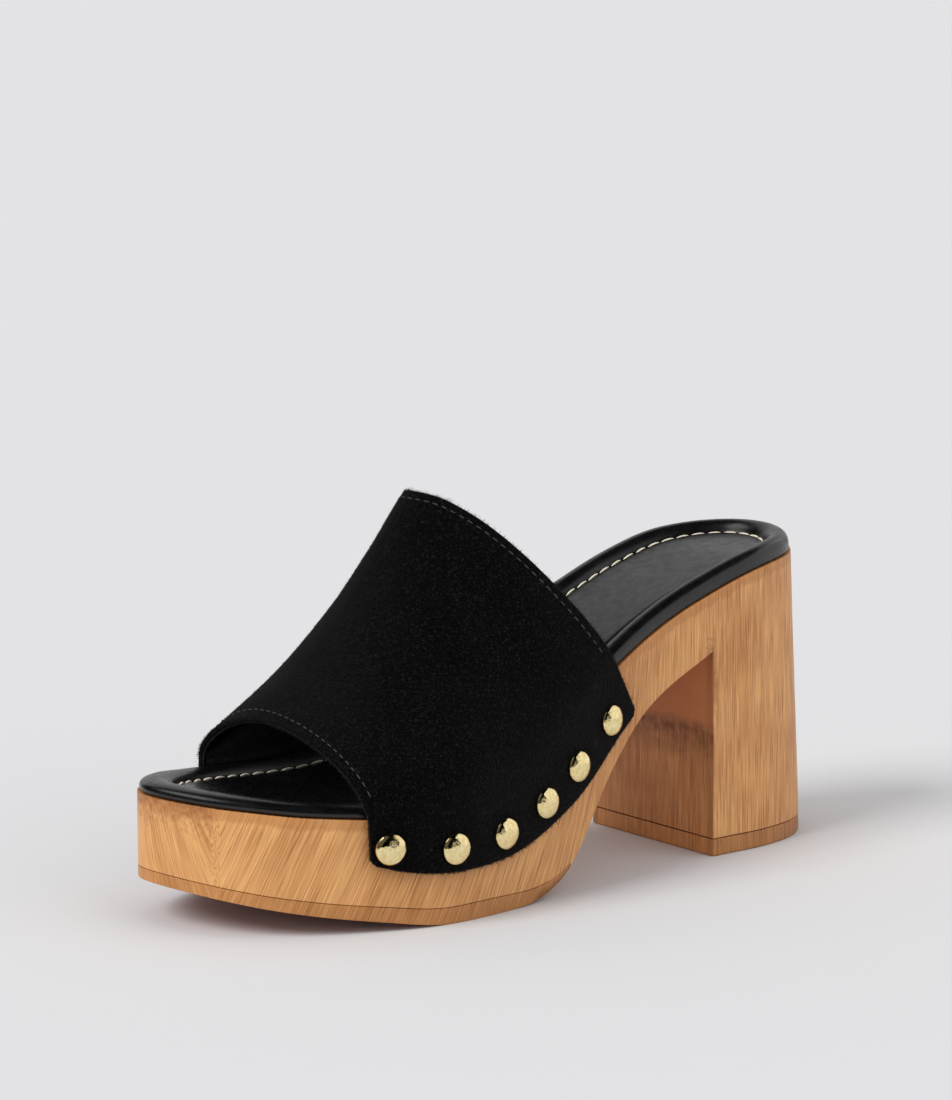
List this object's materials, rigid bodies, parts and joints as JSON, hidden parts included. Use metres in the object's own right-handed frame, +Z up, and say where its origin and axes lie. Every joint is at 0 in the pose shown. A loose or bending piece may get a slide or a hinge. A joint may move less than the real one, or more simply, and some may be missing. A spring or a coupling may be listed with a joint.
{
  "type": "platform clog sandal",
  "caption": "Open-toe slip-on platform clog: carved wooden sole with a tall block heel, padded leather insole and one wide suede band fixed to the wood with domed metal studs.",
  "frame": {"origin": "on the floor under the centre of the shoe's bounding box", "axes": "+Z up, toe points to -Y and heel to +Y, +X is the lateral (outer) side of this left shoe"},
  "size_m": [0.0974, 0.2472, 0.1233],
  "materials": {
    "wood": "satin varnished pale wood with fine brown grain",
    "tread": "thin tread layer stained to match the wood",
    "insole_leather": "smooth black lining leather, satin",
    "suede": "black suede with a short nap",
    "stud_metal": "polished pale gold"
  },
  "bodies": {
    "root": {"sole": "wood", "outsole": "tread", "top_lift": "tread", "insole": "insole_leather", "upper": "suede", "stud_lateral_1": "stud_metal", "stud_lateral_2": "stud_metal", "stud_lateral_3": "stud_metal", "stud_lateral_4": "stud_metal", "stud_lateral_5": "stud_metal", "stud_lateral_6": "stud_metal", "stud_medial_1": "stud_metal", "stud_medial_2": "stud_metal", "stud_medial_3": "stud_metal", "stud_medial_4": "stud_metal", "stud_medial_5": "stud_metal", "stud_medial_6": "stud_metal"}
  },
  "joints": []
}
